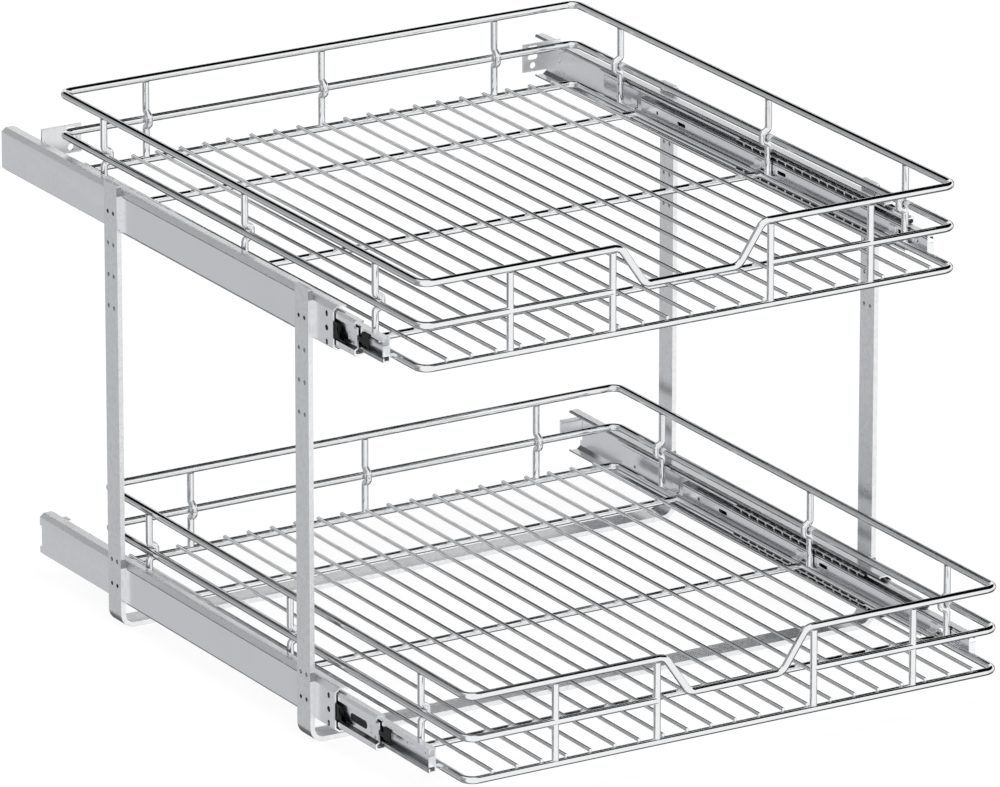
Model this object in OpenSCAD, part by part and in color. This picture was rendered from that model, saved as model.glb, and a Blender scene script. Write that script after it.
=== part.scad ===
// Two tier pull out basket unit for the floor of a kitchen cabinet.
// Two flat bar frames stand on the cabinet floor and carry two pairs of three part ball
// bearing slides. A wire basket hangs between each pair and pulls out towards -Y.
//
// X is across, -Y is the front that pulls out, +Z is up. The floor is z = 0, and the origin is
// the middle of the underside of the front crossbar. All sizes are in millimetres.

/* [Basket] */
// Width between the centre lines of the side wires
basket_width = 466.9; // [380:0.1:700]
// Depth between the centre lines of the front and rear wires
basket_depth = 552.5; // [500:0.5:700]
// Height from one wire ring to the next
ring_gap = 33.1; // [31:0.1:60]
// Radius of the ring corners, at the centre of the wire
corner_radius = 9; // [7:0.5:16]
// Number of thin wires in the basket floor
floor_wire_count = 21; // [9:1:25]
// Width of the handle dip at the top rim
dip_top_width = 125.4; // [110:0.1:128]
// Width of the handle dip at its lowest stretch
dip_low_width = 82; // [60:0.5:84]
// Bend radius of the handle dip, at the centre of the wire
dip_radius = 10; // [7:0.5:12]
// Height of the handle dip's lowest stretch above the middle ring
dip_lift = 1.2; // [0:0.1:4]
// Distance between the two front posts beside the handle
handle_post_spacing = 138.4; // [134:0.1:160]
// Distance from the middle of the basket to the outer front and rear posts
outer_post_offset = 158; // [120:0.5:165]

/* [Wires] */
// Diameter of the ring wires
ring_wire = 6; // [5:0.1:7]
// Diameter of the posts and the cross wires
post_wire = 5.5; // [4.5:0.1:6]
// Diameter of the thin floor wires
floor_wire = 3; // [2:0.1:4]
// How deep a welded wire sinks into the next one
weld_depth = 0.15; // [0.05:0.05:0.3]

/* [Side posts and cross wires] */
// First side post, measured back from the front ring
side_post_front = 68.5; // [60:0.5:76]
// Middle side post, measured back from the front ring
side_post_middle = 264; // [240:0.5:269]
// Rear side post, measured forward from the rear ring
side_post_rear = 69; // [60:0.5:76]
// Front cross wire, measured back from the front ring
cross_wire_front = 81; // [81:0.5:110]
// Middle cross wire, measured back from the front ring
cross_wire_middle = 274; // [274:0.5:300]
// Rear cross wire, measured forward from the rear ring
cross_wire_rear = 95; // [95:0.5:140]

/* [Tiers] */
// Height of the lower basket's bottom ring above the floor
lower_ring_height = 31; // [29:0.1:60]
// Height from the lower basket to the upper basket
tier_gap = 302.9; // [200:0.1:420]
// How far the upper basket stands out at rest
upper_out = 62.8; // [20:0.1:120]
// How far the lower basket stands out at rest
lower_out = 128.3; // [20:0.1:160]
// Share of the basket's travel that the middle rail follows
middle_share = 0.45; // [0.4:0.01:0.5]

/* [Frame] */
// Width of the flat bar, front to back
bar_width = 20; // [16:0.5:25]
// Thickness of the flat bar
bar_thickness = 4; // [3:0.1:5]
// Outer bend radius where a leg turns into the crossbar
bar_bend = 12; // [8:0.5:14]
// Distance between the front and rear frames, centre to centre
frame_gap = 294.3; // [200:0.1:340]
// Height of the legs above the floor line of the upper slide's centre
leg_rise = 22.8; // [20:0.1:30]
// Diameter of the small holes in the legs
leg_hole = 3.4; // [2.5:0.1:4]
// Distance between the two holes of a pair
leg_hole_spacing = 8.4; // [7:0.1:10]
// Height from one pair of holes to the next below the upper slide
leg_hole_pitch = 25.5; // [20:0.1:30]

/* [Slides] */
// Height of a slide
slide_height = 35.2; // [35:0.1:38]
// Thickness of a slide
slide_thickness = 12.7; // [12.7:0.1:14]
// Thickness of the slide sheet metal
slide_sheet = 1.2; // [1:0.05:1.2]
// Height of the slide's centre above the basket's bottom ring
slide_rise = 4.3; // [4:0.1:5]
// How far the slides stand in front of the front legs
slide_overhang = 30; // [25:0.5:45]
// Length of the lower outer rails
lower_rail_length = 462.7; // [462:0.1:500]
// Length of the upper outer rails, which run on to the rear brackets
upper_rail_length = 516.7; // [510:0.1:560]
// Length of the middle rails
middle_rail_length = 449; // [430:1:449]
// Length of the inner rails
inner_rail_length = 415; // [380:1:420]
// How far the basket's front ring stands in front of its inner rails
basket_overhang = 41.5; // [38:0.5:60]
// Diameter of the balls between the outer and middle rails
outer_ball = 2.4; // [2.2:0.05:2.4]
// Diameter of the balls between the middle and inner rails
inner_ball = 2; // [1.6:0.05:2]
// Number of balls in each row
ball_count = 15; // [3:1:15]

/* [Rear brackets] */
// How far the upper rear brackets reach inwards from the rail
bracket_reach = 47; // [40:0.5:60]
// Distance from the upper rail's rear end to its bracket
bracket_inset = 42; // [38:0.5:46]
// How far the lower rear clips reach inwards from the rail
clip_reach = 21; // [16:0.5:24]
// Height of the lower rear clips
clip_height = 12; // [8:0.5:13]

/* [Hidden] */
$fn = 48;
LOWER = 0;
UPPER = 1;
LEFT = -1;
RIGHT = 1;
// A hair of extra length for cuts and for solids that must merge
hair = 0.02;
// Free space kept between pieces that slide past each other
running_gap = 0.3;
// Free space kept between the basket's wires and the brackets that they pass
wire_clearance = 0.6;

// Across: the ring just bites the inner rail, and the slide fills the space up to the leg
half_width = basket_width / 2;
slide_inside = half_width + ring_wire / 2 - 0.05;
leg_inside = slide_inside + slide_thickness;
leg_outside = leg_inside + bar_thickness;

// Front to back
slide_front = -bar_width / 2 - slide_overhang;
cage_share = middle_share / 2;

// Heights
slide_half = slide_height / 2;
leg_top = lower_ring_height + tier_gap + slide_rise + leg_rise;
floor_wire_rise = (ring_wire + floor_wire) / 2 - weld_depth;
cross_wire_rise = floor_wire_rise - (floor_wire + post_wire) / 2 + weld_depth;

function out_of(tier) = tier == UPPER ? upper_out : lower_out;
function ring_z(tier) = lower_ring_height + tier * tier_gap;
function slide_z(tier) = ring_z(tier) + slide_rise;
function basket_y(tier) = slide_front - out_of(tier) - basket_overhang;
function mirrored(half) = concat(half, [for (i = [len(half) - 1 : -1 : 0]) [half[i][0], -half[i][1]]]);

// ---- helpers ----

// Draws a left hand piece on the given side
module on_side(side) {
  if (side == LEFT) {
    children();
  } else {
    mirror([1, 0, 0]) children();
  }
}

// A straight wire from one point to another
module wire(from, to, d) {
  run = to - from;
  length = norm(run);
  translate(from)
    rotate([0, acos(run[2] / length), atan2(run[1], run[0])])
      cylinder(h = length, d = d);
}

// A bent wire through a list of points, with round elbows
module wire_path(points, d) {
  for (i = [0 : len(points) - 2]) wire(points[i], points[i + 1], d);
  for (i = [1 : len(points) - 2]) translate(points[i]) sphere(d = d);
}

// Part of a ring of wire about +Z, from angle 0
module bend(radius, angle) {
  rotate_extrude(angle = angle) translate([radius, 0]) circle(d = ring_wire);
}

// A ring's corner that starts in the given direction
module corner(x, y, start) {
  translate([x, y, 0]) rotate([0, 0, start]) bend(corner_radius, 90);
}

// A slide member: its section in the left hand slide, run from y = from to y = to
module member(section, from, to, z) {
  translate([-leg_inside, to, z])
    rotate([90, 0, 0])
      linear_extrude(height = to - from) polygon(mirrored(section));
}

// A slot with round ends, lying along Y and cut along X
module slot_x(length, height, depth) {
  for (end = [-1, 1])
    translate([0, end * (length - height) / 2, 0])
      rotate([0, 90, 0]) cylinder(h = depth, d = height, center = true);
  cube([depth, length - height, height], center = true);
}

// ---- slide sections, measured inwards from the leg and up from the slide's centre ----

shoulder = 3;
outer_inside_top = slide_half - slide_sheet;
outer_open = slide_thickness - 0.9;
outer_section = [
  [0, slide_half - shoulder], [shoulder + 0.8, slide_half], [outer_open, slide_half],
  [outer_open, outer_inside_top - 0.7], [outer_open - slide_sheet, outer_inside_top - 0.7],
  [outer_open - slide_sheet, outer_inside_top], [shoulder + 1.3, outer_inside_top],
  [slide_sheet, slide_half - shoulder - 0.7]
];

middle_top = outer_inside_top - 2;
middle_groove = outer_inside_top - outer_ball - 2 * running_gap;
middle_inside_top = middle_groove - slide_sheet;
middle_web = 4.4;
middle_lip = 2;
middle_open = outer_open - slide_sheet - 0.4;
middle_section = [
  [middle_web, 7.4], [middle_lip, 8.6], [middle_lip, middle_top - 2],
  [middle_lip + 2, middle_top], [middle_lip + 3, middle_top],
  [5.6, middle_groove], [middle_open, middle_groove], [middle_open, middle_inside_top - 0.5],
  [middle_open - 1, middle_inside_top - 0.5], [middle_open - 1, middle_inside_top],
  [middle_lip + 2.6, middle_inside_top], [middle_lip + slide_sheet, middle_inside_top - 0.6],
  [middle_lip + slide_sheet, 9.4], [middle_web + slide_sheet, 8.2]
];

inner_top = middle_inside_top - inner_ball - 2 * running_gap;
inner_flange = middle_web + slide_sheet + 1;
inner_lip = 3.4;
inner_lip_sheet = 1;
inner_section = [
  [slide_thickness, inner_top], [inner_flange, inner_top],
  [inner_flange, inner_top - inner_lip], [inner_flange + inner_lip_sheet, inner_top - inner_lip],
  [inner_flange + inner_lip_sheet, inner_top - slide_sheet],
  [slide_thickness - slide_sheet, inner_top - slide_sheet]
];

// ---- frame ----

module frame_bar(y) {
  difference() {
    translate([0, y + bar_width / 2, 0]) rotate([90, 0, 0]) linear_extrude(height = bar_width) {
      translate([-leg_outside + bar_bend, 0]) square([2 * (leg_outside - bar_bend), bar_thickness]);
      for (side = [LEFT, RIGHT]) mirror([side == LEFT ? 0 : 1, 0]) {
        translate([-leg_outside, bar_bend]) square([bar_thickness, leg_top - bar_bend]);
        intersection() {
          translate([-leg_outside, 0]) square(bar_bend);
          translate([-leg_outside + bar_bend, bar_bend]) difference() {
            circle(r = bar_bend);
            circle(r = bar_bend - bar_thickness);
          }
        }
      }
    }
    for (z = leg_hole_heights(), side = [-1, 1])
      translate([0, y + side * leg_hole_spacing / 2, z])
        rotate([0, 90, 0]) cylinder(h = 2 * leg_outside + 2, d = leg_hole, center = true);
  }
}

// A pair of holes behind each slide, three pairs below the upper slide and one above the lower
upper_screw_drop = 0.6;
lower_screw_drop = 1.3;
lower_pair_gap = 19.9;

function leg_hole_heights() = concat(
  [for (i = [0 : 3]) slide_z(UPPER) - upper_screw_drop - i * leg_hole_pitch],
  [slide_z(LOWER) - lower_screw_drop + lower_pair_gap, slide_z(LOWER) - lower_screw_drop]
);

module front_frame() {
  color("silver") frame_bar(0);
}

module rear_frame() {
  color("silver") frame_bar(frame_gap);
}

// Small plates on the front edges of the legs, level with each slide's sloping shoulder
tab_sheet = 0.6;
tab_height = 6.8;

module seat_tabs() {
  color("dimgray")
    for (side = [LEFT, RIGHT], y = [0, frame_gap], tier = [LOWER, UPPER])
      on_side(side)
        translate([-leg_outside, y - bar_width / 2 - tab_sheet, slide_z(tier) + slide_half - shoulder])
          cube([bar_thickness, tab_sheet, tab_height]);
}

// ---- fixed rails ----

function rail_length(tier) = tier == UPPER ? upper_rail_length : lower_rail_length;
function rail_rear(tier) = slide_front + rail_length(tier);

rail_hole = 4.6;
rail_slot_width = 3.4;
rail_slot_height = 4.8;
rail_hole_inset = 9.3;
rail_hole_pitch = 11.1;
rail_hole_drop = 1.2;
screw_hole = leg_hole - 0.6;
notch_depth = 3;
notch_low = -9.5;
notch_high = 8;

// A round hole through a web, along X
module web_hole(y, z, d) {
  translate([-leg_inside, y, z]) rotate([0, 90, 0]) cylinder(h = 3 * slide_sheet, d = d, center = true);
}

module outer_rail(tier, side) {
  color("lightsteelblue") on_side(side) difference() {
    member(outer_section, slide_front, rail_rear(tier), slide_z(tier));
    // a round hole between two upright slots, in a column near the front end
    translate([-leg_inside, slide_front + rail_hole_inset, slide_z(tier) - rail_hole_drop]) {
      rotate([0, 90, 0]) cylinder(h = 3 * slide_sheet, d = rail_hole, center = true);
      for (end = [-1, 1])
        translate([0, 0, end * rail_hole_pitch])
          rotate([90, 0, 0]) slot_x(rail_slot_height, rail_slot_width, 6 * slide_sheet);
    }
    // the screws of the legs come through the web
    for (y = [0, frame_gap], end = [-1, 1])
      web_hole(y + end * leg_hole_spacing / 2, tier_hole_height(tier), screw_hole);
    // the lower rails are notched at the rear end
    if (tier == LOWER)
      translate([-leg_inside - hair, rail_rear(tier) - notch_depth, slide_z(tier) + notch_low])
        cube([slide_sheet + 2 * hair, notch_depth + hair, notch_high - notch_low]);
  }
}

function tier_hole_height(tier) = tier == UPPER ? leg_hole_heights()[0] : leg_hole_heights()[5];

// ---- rear brackets ----

bracket_y = rail_rear(UPPER) - bracket_inset;
bracket_low = ring_z(UPPER) + floor_wire_rise + floor_wire / 2 + wire_clearance;
bracket_high = ring_z(UPPER) + ring_gap - ring_wire / 2 - wire_clearance;
bracket_sheet = 1.5;
bracket_foot = 22;
bracket_hole = 5.6;
bracket_hole_inset = 9.3;
bracket_hole_rise = 4.8;
bracket_slot_rise = 12;
bracket_slot_length = 9.8;
bracket_slot_height = 4.6;
small_hole = 3.4;
small_hole_inset = 34;

module rear_bracket(side) {
  left = -leg_inside + slide_sheet;
  right = left + bracket_reach;
  rail_top = slide_z(UPPER) + slide_half;
  color("gainsboro") on_side(side) difference() {
    union() {
      // the plate that the screws into the cabinet's back go through
      translate([left, bracket_y, bracket_low])
        cube([bracket_reach, bracket_sheet, bracket_high - bracket_low]);
      // the foot that lies against the rail
      translate([left, bracket_y, bracket_low])
        cube([bracket_sheet, bracket_foot, rail_top - shoulder - 2 - bracket_low]);
    }
    // room for the rail's top flange
    translate([-leg_inside - 1, bracket_y - 1, rail_top - shoulder - 1])
      cube([slide_thickness + 1.4, bracket_sheet + 2, slide_height]);
    // a round hole, two slots and two small holes
    plate_hole(right - bracket_hole_inset, bracket_low + bracket_hole_rise, bracket_hole);
    for (z = [bracket_low + bracket_slot_rise, bracket_high - 4])
      translate([right - bracket_hole_inset, bracket_y, z])
        rotate([0, 0, 90]) slot_x(bracket_slot_length, bracket_slot_height, 4 * bracket_sheet);
    for (z = [bracket_low + bracket_hole_rise, bracket_low + bracket_slot_rise])
      plate_hole(right - small_hole_inset, z, small_hole);
  }
}

// A round hole through the bracket's plate, along Y
module plate_hole(x, z, d) {
  translate([x, bracket_y, z]) rotate([90, 0, 0]) cylinder(h = 4 * bracket_sheet, d = d, center = true);
}

// A short channel across the rear end of each lower rail, open towards the front
clip_sheet = 1.2;
clip_depth = 8;
clip_inset = 10.4;

module rear_clip(side) {
  clip_y = rail_rear(LOWER) - clip_inset;
  clip_low = ring_z(LOWER) + ring_wire / 2 + 2 * wire_clearance;
  color("gainsboro") on_side(side)
    translate([-leg_inside + slide_sheet, clip_y, clip_low]) {
      translate([0, clip_depth - clip_sheet, 0]) cube([clip_reach, clip_sheet, clip_height]);
      for (z = [0, clip_height - clip_sheet])
        translate([0, 0, z]) cube([clip_reach, clip_depth, clip_sheet]);
    }
}

// ---- black plastic stops ----

bumper_reach = 15.5;
bumper_neck = 5;
bumper_neck_half = 2;
bumper_low = -3.4;
bumper_high = 7;
bumper_overlap = 1.6;
lever_sheet = 0.6;
stop_height = 11.4;
stop_reach = 7;
stop_grip = 13;
stop_lip = 1.2;
stop_lip_reach = 17;
stop_depth = middle_web - slide_sheet - 0.5;

// Stops the middle rail at the outer rail's front end: a block, and a thin lip under it
module front_bumper(tier, side) {
  color("black") on_side(side)
    translate([-leg_inside + slide_sheet, slide_front, slide_z(tier) - stop_height / 2]) {
      translate([0, -stop_reach, 0]) cube([stop_depth, stop_reach + stop_grip, stop_height]);
      translate([0, -stop_lip_reach, -stop_lip])
        cube([stop_depth - 0.4, stop_lip_reach + stop_grip, stop_lip + hair]);
    }
}

// A flat head on a neck ahead of the middle rail's front end, close to the inner rail's lips
module middle_bumper(tier, side) {
  color("black") on_side(side)
    translate([-leg_inside + middle_web + slide_sheet, middle_front(tier), slide_z(tier)]) {
      translate([0, -bumper_reach, bumper_low])
        cube([lever_sheet, bumper_reach - bumper_neck, bumper_high - bumper_low]);
      translate([0, -bumper_neck - hair, -bumper_neck_half])
        cube([lever_sheet, bumper_neck + hair + bumper_overlap, 2 * bumper_neck_half]);
    }
}

// ---- cages with their balls ----

function middle_front(tier) = slide_front - middle_share * out_of(tier);
function inner_front(tier) = slide_front - out_of(tier);
cage_sheet = 0.6;
ball_pitch = 12.1;
outer_cage_length = 180;
outer_cage_inset = 44;
outer_cage_from = 6.4;
outer_ball_u = 8;
inner_cage_length = 191;
inner_cage_inset = 21.4;
inner_cage_from = 6.7;
inner_ball_u = 7.9;
outer_ball_w = outer_inside_top - running_gap - outer_ball / 2;
inner_ball_w = middle_inside_top - running_gap - inner_ball / 2;
outer_cage_wall = outer_open - slide_sheet - 1;
inner_cage_wall = slide_thickness - 1.1;
inner_cage_rise = 1;

// One strip above and one below, each an angle that holds a row of balls. It reaches from
// u = from to its upright wall at u = wall, which rises past the balls, and these run at u = ball_u
module cage(front, length, from, wall, rise, ball_u, w, ball, z) {
  pitch = min(ball_pitch, length / ball_count);
  for (half = [0, 1])
    translate([-leg_inside, front, z]) mirror([0, 0, half]) {
      translate([from, 0, w - cage_sheet / 2]) cube([wall + cage_sheet - from, length, cage_sheet]);
      translate([wall, 0, w - ball / 2]) cube([cage_sheet, length, ball + rise]);
      for (i = [0 : ball_count - 1])
        translate([ball_u, length / 2 + (i - (ball_count - 1) / 2) * pitch, w]) sphere(d = ball);
    }
}

// A cage rolls at the mean speed of its two rails
module outer_cage(tier, side) {
  front = slide_front + outer_cage_inset - cage_share * out_of(tier);
  color("darkslategray") on_side(side)
    cage(
      front, outer_cage_length, outer_cage_from, outer_cage_wall, 0,
      outer_ball_u, outer_ball_w, outer_ball, slide_z(tier)
    );
}

// Both inner cages have rolled to the same place at rest
module inner_cage(tier, side) {
  front = slide_front + inner_cage_inset;
  color("darkslategray") on_side(side)
    cage(
      front, inner_cage_length, inner_cage_from, inner_cage_wall, inner_cage_rise,
      inner_ball_u, inner_ball_w, inner_ball, slide_z(tier)
    );
}

// ---- middle rails ----

insert_length = 25;
insert_height = 6.4;
insert_back = 29.3;
insert_rise = 0.5;
lever_back = 2;
lever_length = 11;
lever_height = 2.2;
lever_tab_back = 7;
lever_tab_length = 4;
lever_tab_height = 6;
lever_drop = 2;
lever_tab_drop = 1.6;
window_gap = 0.1;
web_hole_small = 2.4;
lip_hole = 1.8;

module middle_rail(tier, side) {
  front = middle_front(tier);
  color("lightsteelblue") on_side(side) difference() {
    member(middle_section, front, front + middle_rail_length, slide_z(tier));
    translate([-leg_inside + middle_web, front + insert_back, slide_z(tier) + insert_rise])
      slot_x(insert_length, insert_height, 4 * slide_sheet);
    // the window that the release lever's tab fills
    translate([
      -leg_inside + middle_web - hair,
      front + lever_back + lever_tab_back - window_gap,
      slide_z(tier) - lever_drop - lever_tab_drop - window_gap
    ]) cube([slide_sheet + 2 * hair, lever_tab_length + 2 * window_gap, lever_tab_height + 2 * window_gap]);
    // small round holes in the web, and one in the lower lip
    for (y = [5, middle_rail_length - 20])
      translate([middle_web, 0, 0]) web_hole(front + y, slide_z(tier) - 4.5, web_hole_small);
    translate([middle_lip + slide_sheet / 2, 0, 0])
      web_hole(front + 7, slide_z(tier) - 10.6, lip_hole);
  }
}

// A black plastic piece with round ends, pushed into the middle rail's slot
module slot_insert(tier, side) {
  color("black") on_side(side)
    translate([
      -leg_inside + middle_web + slide_sheet / 2 - 0.05,
      middle_front(tier) + insert_back,
      slide_z(tier) + insert_rise
    ]) slot_x(insert_length, insert_height, slide_sheet + 0.1);
}

// The small lever behind the web that frees the inner rail, with its tab in the web's window
module release_lever(tier, side) {
  color("whitesmoke") on_side(side)
    translate([-leg_inside + middle_web, middle_front(tier) + lever_back, slide_z(tier) - lever_drop]) {
      translate([slide_sheet, 0, 0]) cube([lever_sheet, lever_length, lever_height]);
      translate([-0.1, lever_tab_back, -lever_tab_drop])
        cube([slide_sheet + lever_sheet + 0.1, lever_tab_length, lever_tab_height]);
    }
}

// ---- inner rails ----

front_tab_low = -5;
front_tab_height = 8.5;
inner_slot_length = 12;
inner_slot_height = 3;
inner_slot_rise = 2.2;
inner_hole = 3;

module inner_rail(tier, side) {
  front = inner_front(tier);
  color("lightsteelblue") on_side(side) {
    difference() {
      member(inner_section, front, front + inner_rail_length, slide_z(tier));
      // slots and small holes in the web
      for (y = [36, inner_rail_length / 2, inner_rail_length - 60])
        translate([-leg_inside + slide_thickness, front + y, slide_z(tier) + inner_slot_rise])
          slot_x(inner_slot_length, inner_slot_height, 4 * slide_sheet);
      for (y = [14, inner_rail_length - 24])
        translate([slide_thickness, 0, 0])
          web_hole(front + y, slide_z(tier) + inner_slot_rise, inner_hole);
    }
    // the front tab, bent outwards to meet the stop
    translate([-leg_inside + inner_flange, front, slide_z(tier) + front_tab_low])
      cube([slide_thickness - inner_flange - slide_sheet / 2, slide_sheet, front_tab_height]);
  }
}

// ---- basket ----

// The back and side runs that all three rings share, open at the front
module ring_u() {
  r = corner_radius;
  side_x = half_width;
  corner_x = half_width - r;
  rear_y = basket_depth - r;
  for (side = [-1, 1]) wire([side * side_x, r, 0], [side * side_x, rear_y, 0], ring_wire);
  wire([-corner_x, basket_depth, 0], [corner_x, basket_depth, 0], ring_wire);
  corner(corner_x, rear_y, 0);
  corner(-corner_x, rear_y, 90);
  corner(-corner_x, r, 180);
  corner(corner_x, r, 270);
}

// Part of the front run, from x = from to x = to
module ring_front(from, to) {
  wire([from, 0, 0], [to, 0, 0], ring_wire);
}

module in_basket(tier, level) {
  translate([0, basket_y(tier), ring_z(tier) + level * ring_gap]) children();
}

// The handle dip bends down from the rim, runs level and bends up again
module handle_dip() {
  run = (dip_top_width - dip_low_width) / 2;
  drop = ring_gap - dip_lift;
  slope = atan2(drop, run);
  tangent = dip_radius * tan(slope / 2);
  length = norm([run, drop]) - 2 * tangent;
  bend_x = dip_top_width / 2 + tangent;
  low_x = dip_low_width / 2 - tangent;
  for (side = [0, 1]) mirror([side, 0, 0]) {
    wire([-half_width + corner_radius, 0, 0], [-bend_x, 0, 0], ring_wire);
    // the upper bend, the slope and the lower bend
    translate([-bend_x, 0, -dip_radius]) rotate([90, 0, 0]) rotate([0, 0, 90 - slope]) {
      bend(dip_radius, slope);
      translate([dip_radius, 0, 0]) rotate([90, 0, 0]) cylinder(h = length, d = ring_wire);
      translate([2 * dip_radius, -length, 0]) rotate([0, 0, 180]) bend(dip_radius, slope);
    }
    translate([-low_x, 0, -drop]) sphere(d = ring_wire);
    wire([-low_x, 0, -drop], [hair, 0, -drop], ring_wire);
  }
}

module top_rim(tier) {
  color("gainsboro") in_basket(tier, 2) {
    ring_u();
    handle_dip();
  }
}

module middle_ring(tier) {
  color("gainsboro") in_basket(tier, 1) {
    ring_u();
    ring_front(-half_width + corner_radius, -handle_post_spacing / 2);
    ring_front(handle_post_spacing / 2, half_width - corner_radius);
  }
}

module bottom_ring(tier) {
  color("gainsboro") in_basket(tier, 0) {
    ring_u();
    ring_front(-half_width + corner_radius, half_width - corner_radius);
  }
}

module floor_wires(tier) {
  pitch = basket_width / (floor_wire_count + 1);
  color("white") in_basket(tier, 0)
    for (i = [1 : floor_wire_count])
      wire(
        [-half_width + i * pitch, -0.5, floor_wire_rise],
        [-half_width + i * pitch, basket_depth + 1, floor_wire_rise],
        floor_wire
      );
}

module cross_wires(tier) {
  color("gainsboro") in_basket(tier, 0)
    for (y = [cross_wire_front, cross_wire_middle, basket_depth - cross_wire_rear])
      wire(
        [-half_width + ring_wire / 2 - weld_depth, y, cross_wire_rise],
        [half_width - ring_wire / 2 + weld_depth, y, cross_wire_rise],
        post_wire
      );
}

// A wall post stands on the bottom ring, steps inwards round the middle ring and meets the rim.
// Its slanted runs start a hair past the ring and lie as close to it as the upright one
step_clearance = 0.2;
step_half = ring_wire / 2 + step_clearance;
post_low = ring_wire / 2 - weld_depth;
post_high = 2 * ring_gap - ring_wire / 2 + weld_depth;
post_step = (ring_wire + post_wire) / 2 - weld_depth;
step_run = (post_step * post_step - step_half * step_half) / (2 * step_half);

function post_points(inward) = [
  [0, 0, post_low],
  [0, 0, ring_gap - step_half - step_run],
  inward * post_step + [0, 0, ring_gap - step_half],
  inward * post_step + [0, 0, ring_gap + step_half],
  [0, 0, ring_gap + step_half + step_run],
  [0, 0, post_high]
];

module wall_posts(tier) {
  color("gainsboro") in_basket(tier, 0) {
    for (side = [-1, 1], y = [side_post_front, side_post_middle, basket_depth - side_post_rear])
      translate([side * half_width, y, 0]) wire_path(post_points([-side, 0, 0]), post_wire);
    for (x = [-outer_post_offset, 0, outer_post_offset])
      translate([x, basket_depth, 0]) wire_path(post_points([0, -1, 0]), post_wire);
  }
}

module front_posts(tier) {
  color("gainsboro") in_basket(tier, 0)
    for (x = [handle_post_spacing / 2, outer_post_offset], side = [-1, 1])
      wire(
        [side * x, 0, post_low],
        [side * x, 0, post_high],
        post_wire
      );
}

// Bent tabs on the inner rails that reach over the side wires of the bottom ring
hook_length = 9;
hook_height = 6.6;
hook_reach = 5;
hook_gap = 4;

module rail_hooks(tier) {
  color("silver")
    for (side = [LEFT, RIGHT], y = [cross_wire_front, cross_wire_middle, basket_depth - cross_wire_rear])
      on_side(side) in_basket(tier, 0)
        translate([-slide_inside, y + hook_gap, ring_wire / 2 - weld_depth]) {
          cube([slide_sheet, hook_length, hook_height]);
          cube([hook_reach, hook_length, slide_sheet]);
        }
}

// ---- one line for each piece ----

front_frame();
rear_frame();
seat_tabs();
outer_rail(UPPER, LEFT);  // outer_rail_upper_left
outer_rail(UPPER, RIGHT);  // outer_rail_upper_right
outer_rail(LOWER, LEFT);  // outer_rail_lower_left
outer_rail(LOWER, RIGHT);  // outer_rail_lower_right
rear_bracket(LEFT);  // rear_bracket_left
rear_bracket(RIGHT);  // rear_bracket_right
rear_clip(LEFT);  // rear_clip_left
rear_clip(RIGHT);  // rear_clip_right
front_bumper(UPPER, LEFT);  // front_bumper_upper_left
front_bumper(UPPER, RIGHT);  // front_bumper_upper_right
front_bumper(LOWER, LEFT);  // front_bumper_lower_left
front_bumper(LOWER, RIGHT);  // front_bumper_lower_right
outer_cage(UPPER, LEFT);  // outer_cage_upper_left
outer_cage(UPPER, RIGHT);  // outer_cage_upper_right
outer_cage(LOWER, LEFT);  // outer_cage_lower_left
outer_cage(LOWER, RIGHT);  // outer_cage_lower_right
middle_rail(UPPER, LEFT);  // middle_rail_upper_left
middle_rail(UPPER, RIGHT);  // middle_rail_upper_right
middle_rail(LOWER, LEFT);  // middle_rail_lower_left
middle_rail(LOWER, RIGHT);  // middle_rail_lower_right
slot_insert(UPPER, LEFT);  // slot_insert_upper_left
slot_insert(UPPER, RIGHT);  // slot_insert_upper_right
slot_insert(LOWER, LEFT);  // slot_insert_lower_left
slot_insert(LOWER, RIGHT);  // slot_insert_lower_right
middle_bumper(UPPER, LEFT);  // middle_bumper_upper_left
middle_bumper(UPPER, RIGHT);  // middle_bumper_upper_right
middle_bumper(LOWER, LEFT);  // middle_bumper_lower_left
middle_bumper(LOWER, RIGHT);  // middle_bumper_lower_right
release_lever(UPPER, LEFT);  // release_lever_upper_left
release_lever(UPPER, RIGHT);  // release_lever_upper_right
release_lever(LOWER, LEFT);  // release_lever_lower_left
release_lever(LOWER, RIGHT);  // release_lever_lower_right
inner_cage(UPPER, LEFT);  // inner_cage_upper_left
inner_cage(UPPER, RIGHT);  // inner_cage_upper_right
inner_cage(LOWER, LEFT);  // inner_cage_lower_left
inner_cage(LOWER, RIGHT);  // inner_cage_lower_right
inner_rail(UPPER, LEFT);  // inner_rail_upper_left
inner_rail(UPPER, RIGHT);  // inner_rail_upper_right
inner_rail(LOWER, LEFT);  // inner_rail_lower_left
inner_rail(LOWER, RIGHT);  // inner_rail_lower_right
top_rim(UPPER);  // top_rim_upper
middle_ring(UPPER);  // middle_ring_upper
bottom_ring(UPPER);  // bottom_ring_upper
floor_wires(UPPER);  // floor_wires_upper
cross_wires(UPPER);  // cross_wires_upper
wall_posts(UPPER);  // wall_posts_upper
front_posts(UPPER);  // front_posts_upper
rail_hooks(UPPER);  // rail_hooks_upper
top_rim(LOWER);  // top_rim_lower
middle_ring(LOWER);  // middle_ring_lower
bottom_ring(LOWER);  // bottom_ring_lower
floor_wires(LOWER);  // floor_wires_lower
cross_wires(LOWER);  // cross_wires_lower
wall_posts(LOWER);  // wall_posts_lower
front_posts(LOWER);  // front_posts_lower
rail_hooks(LOWER);  // rail_hooks_lower
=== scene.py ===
"""Looks of a two tier pull out wire basket unit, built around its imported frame.

The wires and ball cages are modelled here from scratch. The frames, rails and small parts start
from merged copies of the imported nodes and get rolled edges. All lengths are in metres in the
frame's own axes: X across, -Y the way the baskets pull out, +Z up.
"""

import logging
import math
from collections.abc import Callable
from dataclasses import dataclass
from enum import Enum

import bpy
from mathutils import Matrix, Vector


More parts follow.
